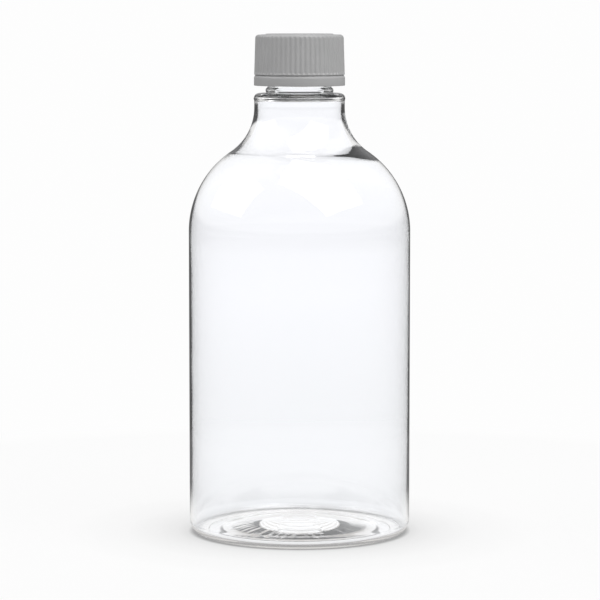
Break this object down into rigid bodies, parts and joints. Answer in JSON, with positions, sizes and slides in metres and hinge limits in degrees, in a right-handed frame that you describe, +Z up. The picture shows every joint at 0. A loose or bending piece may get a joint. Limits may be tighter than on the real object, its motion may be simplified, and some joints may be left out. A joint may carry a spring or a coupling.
{
  "type": "mouthwash bottle",
  "caption": "Clear round bottle with a sloping shoulder, threaded neck, ribbed push-and-turn closure with inner cap and wad, and a tamper band left on the neck.",
  "frame": {"origin": "centre of the base on the standing plane", "axes": "+Z up the bottle's axis, towards the closure"},
  "size_m": [0.075, 0.075, 0.1691],
  "materials": {
    "clear_pet": "clear blown plastic, polished",
    "grey_pp": "satin moulded grey plastic",
    "natural_pp": "moulded natural white plastic",
    "foam_wad": "white closed-cell foam"
  },
  "bodies": {
    "bottle": {"bottle": "clear_pet"},
    "liner": {"liner": "foam_wad"},
    "inner_cap": {"inner_cap": "natural_pp"},
    "outer_shell": {"outer_shell": "grey_pp"},
    "tamper_band": {"tamper_band": "grey_pp"}
  },
  "joints": [
    {"name": "cap_lift", "type": "slide", "parent": "bottle", "child": "liner", "axis": [0, 0, 1], "range_m": [0, 0.0127]},
    {"name": "cap_turn", "type": "hinge", "parent": "liner", "child": "inner_cap", "pos_m": [0, 0, 0.1649], "axis": [0, 0, 1], "range_deg": [0, 1440]},
    {"name": "push_down", "type": "slide", "parent": "inner_cap", "child": "outer_shell", "axis": [0, 0, 1], "range_m": [-0.0003, 0], "stiffness_N_per_m": 6000},
    {"name": "band_spin", "type": "hinge", "parent": "bottle", "child": "tamper_band", "pos_m": [0, 0, 0.15335], "axis": [0, 0, 1], "continuous": true}
  ],
  "couplings": [
    {"joint": "cap_lift", "follows": "cap_turn", "m_per_rad": 0.00050532}
  ]
}
